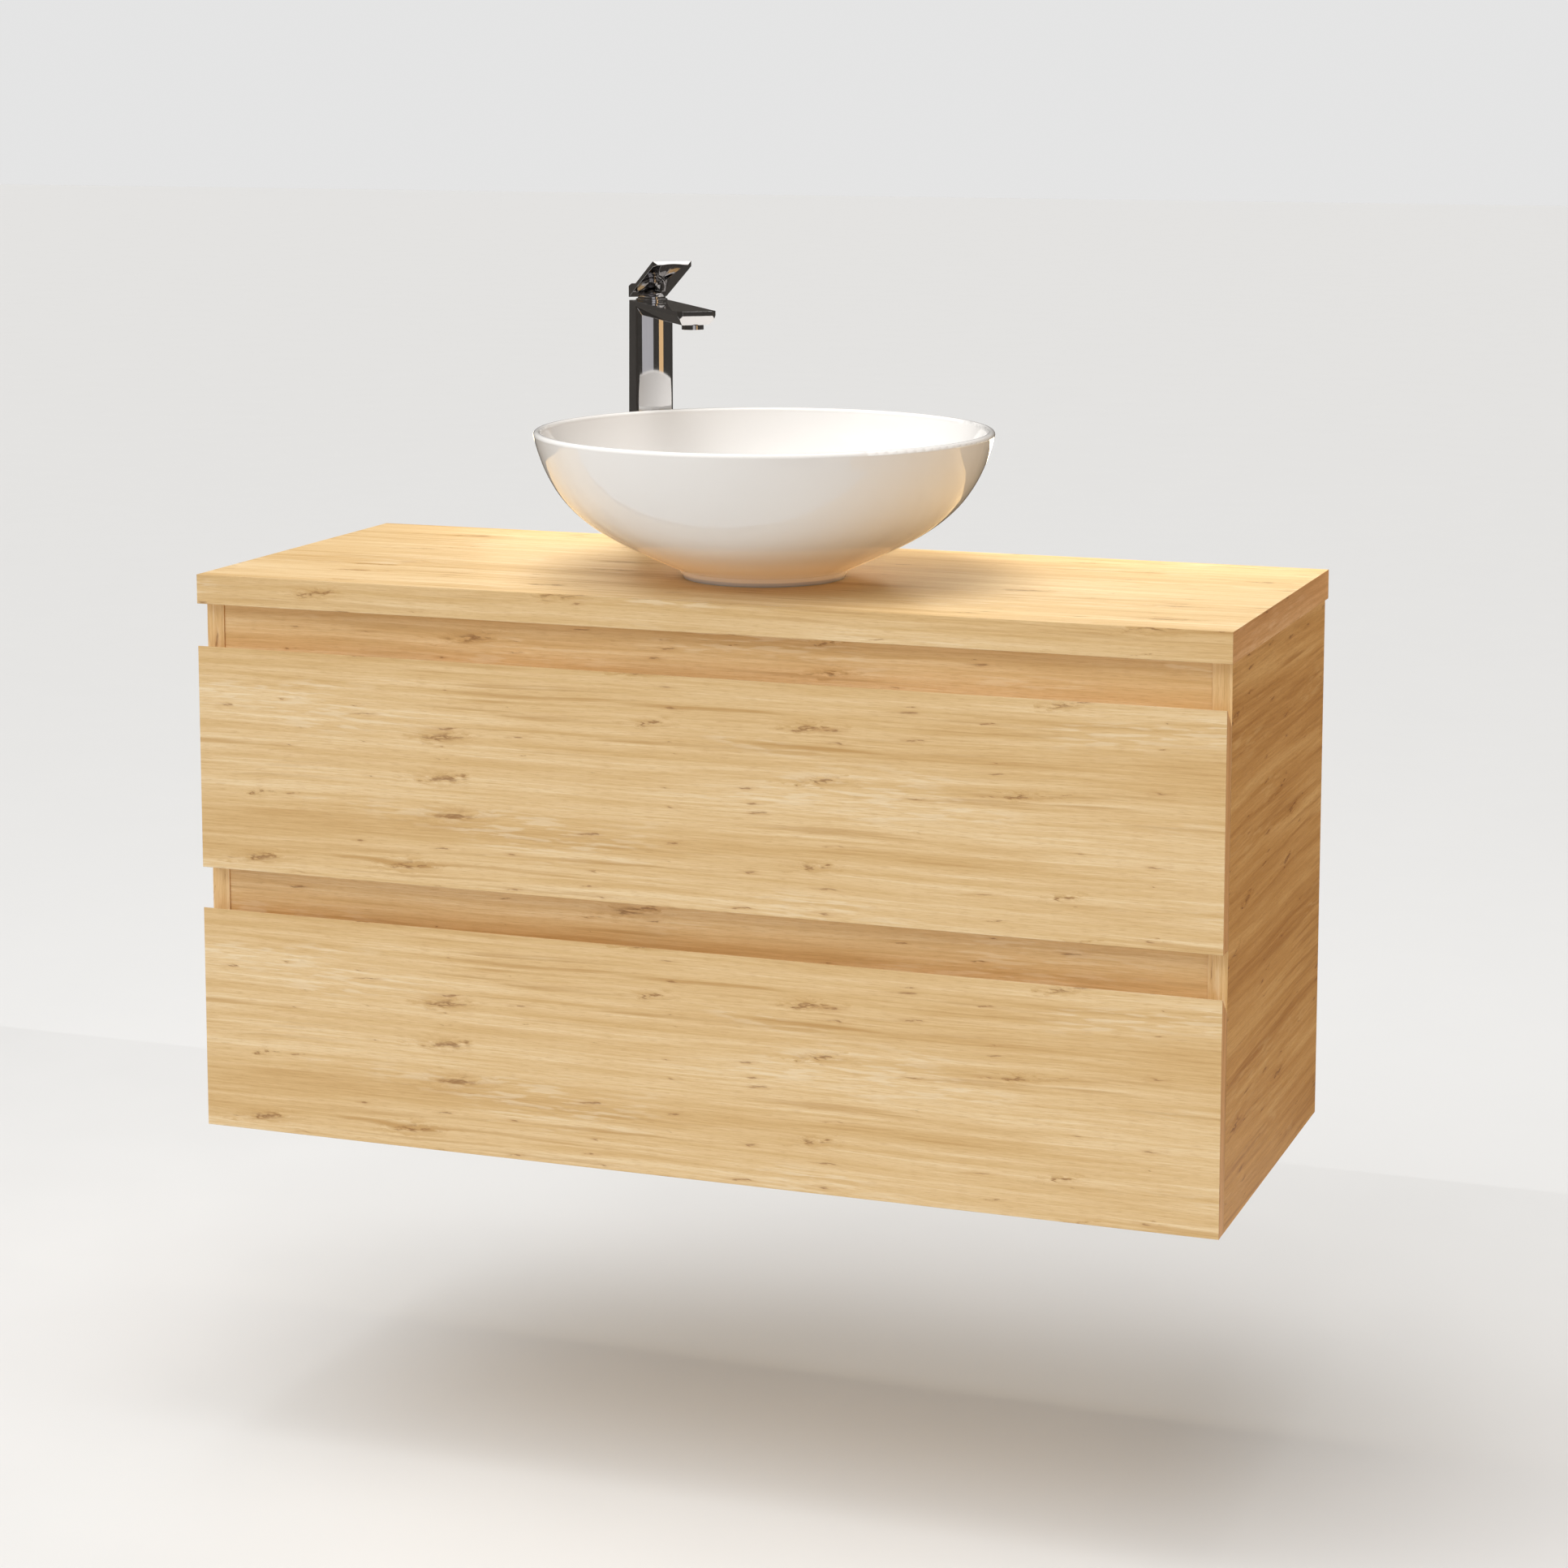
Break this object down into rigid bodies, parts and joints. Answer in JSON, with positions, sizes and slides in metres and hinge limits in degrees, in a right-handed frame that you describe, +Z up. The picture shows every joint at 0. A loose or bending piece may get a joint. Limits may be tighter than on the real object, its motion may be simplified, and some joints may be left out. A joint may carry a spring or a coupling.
{
  "type": "vessel sink on vanity",
  "caption": "Wall-hung wooden vanity with drawers, a round white countertop basin, a bottle trap and a tall single-lever chrome tap.",
  "frame": {"origin": "centre of the rectangle of wall screws, on the wall plane behind the cabinet", "axes": "+X along the cabinet's width, to the user's right; +Y into the wall; +Z up"},
  "size_m": [1.006, 0.4445, 0.8284],
  "materials": {
    "oak_veneer": "satin",
    "drawer_board": "satin",
    "back_board": "satin",
    "beech": "satin",
    "zinc_steel": "satin",
    "die_cast": "satin",
    "chrome": "polished",
    "brass": "satin",
    "glazed_ceramic": "gloss",
    "white_plastic": "gloss",
    "grey_plastic": "matte",
    "black_rubber": "matte",
    "clear_pad": "satin"
  },
  "bodies": {
    "cabinet": {"left_side_panel": "oak_veneer", "right_side_panel": "oak_veneer", "bottom_panel": "oak_veneer", "top_front_rail": "oak_veneer", "middle_rail": "oak_veneer", "rear_top_rail": "drawer_board", "back_panel": "back_board", "countertop": "oak_veneer", "hanger_housings": "white_plastic", "hanger_hooks": "zinc_steel", "wall_plates": "zinc_steel", "hanger_adjusting_screws": "zinc_steel", "carcass_dowels": "beech", "cam_fittings": "die_cast", "countertop_brackets": "zinc_steel", "bracket_screws": "zinc_steel", "basin_bowl": "glazed_ceramic", "basin_seal_ring": "clear_pad", "waste_body": "chrome", "waste_seals": "black_rubber", "waste_lock_nut": "brass", "trap_head": "white_plastic", "trap_cup": "white_plastic", "trap_outlet_pipe": "white_plastic", "trap_nuts": "white_plastic", "tap_body": "chrome", "tap_base_seal": "black_rubber", "tap_cartridge": "grey_plastic", "tap_cartridge_collar": "chrome", "tap_aerator": "chrome", "tap_stud": "zinc_steel", "tap_fixing_washer": "zinc_steel", "tap_fixing_nut": "brass", "upper_slide_outer_rails": "zinc_steel", "lower_slide_outer_rails": "zinc_steel"},
    "upper_drawer": {"upper_slide_inner_rails": "zinc_steel", "upper_drawer_front": "oak_veneer", "upper_drawer_left_side": "drawer_board", "upper_drawer_right_side": "drawer_board", "upper_drawer_bottom": "drawer_board", "upper_drawer_front_fixings": "zinc_steel", "upper_drawer_bumper_pads": "clear_pad", "upper_drawer_back_left": "drawer_board", "upper_drawer_back_right": "drawer_board", "upper_drawer_trap_recess": "grey_plastic"},
    "lower_drawer": {"lower_slide_inner_rails": "zinc_steel", "lower_drawer_front": "oak_veneer", "lower_drawer_left_side": "drawer_board", "lower_drawer_right_side": "drawer_board", "lower_drawer_bottom": "drawer_board", "lower_drawer_front_fixings": "zinc_steel", "lower_drawer_bumper_pads": "clear_pad", "lower_drawer_back": "drawer_board"},
    "upper_middle_rails": {"upper_slide_middle_rails": "zinc_steel"},
    "lower_middle_rails": {"lower_slide_middle_rails": "zinc_steel"},
    "cartridge_rotor": {"tap_cartridge_rotor": "white_plastic"},
    "lever": {"tap_lever": "chrome", "tap_lever_stem": "brass", "tap_lever_screw": "zinc_steel"},
    "plug": {"waste_plug": "chrome"}
  },
  "joints": [
    {"name": "upper_drawer_slide", "type": "slide", "parent": "cabinet", "child": "upper_drawer", "axis": [0, -1, 0], "range_m": [0, 0.33]},
    {"name": "upper_middle_rail_slide", "type": "slide", "parent": "cabinet", "child": "upper_middle_rails", "axis": [0, -1, 0], "range_m": [0, 0.165]},
    {"name": "lower_drawer_slide", "type": "slide", "parent": "cabinet", "child": "lower_drawer", "axis": [0, -1, 0], "range_m": [0, 0.33]},
    {"name": "lower_middle_rail_slide", "type": "slide", "parent": "cabinet", "child": "lower_middle_rails", "axis": [0, -1, 0], "range_m": [0, 0.165]},
    {"name": "lever_turn", "type": "hinge", "parent": "cabinet", "child": "cartridge_rotor", "pos_m": [-0.17341, -0.06206, 0.303], "axis": [0, 0, 1], "range_deg": [-45, 45]},
    {"name": "lever_lift", "type": "hinge", "parent": "cartridge_rotor", "child": "lever", "pos_m": [-0.17341, -0.06206, 0.303], "axis": [0.7923, 0.6101, 0], "range_deg": [0, 21]},
    {"name": "plug_press", "type": "slide", "parent": "cabinet", "child": "plug", "axis": [0, 0, -1], "range_m": [0, 0.008]}
  ],
  "couplings": [
    {"joint": "upper_middle_rail_slide", "follows": "upper_drawer_slide", "ratio": 0.5},
    {"joint": "lower_middle_rail_slide", "follows": "lower_drawer_slide", "ratio": 0.5}
  ]
}
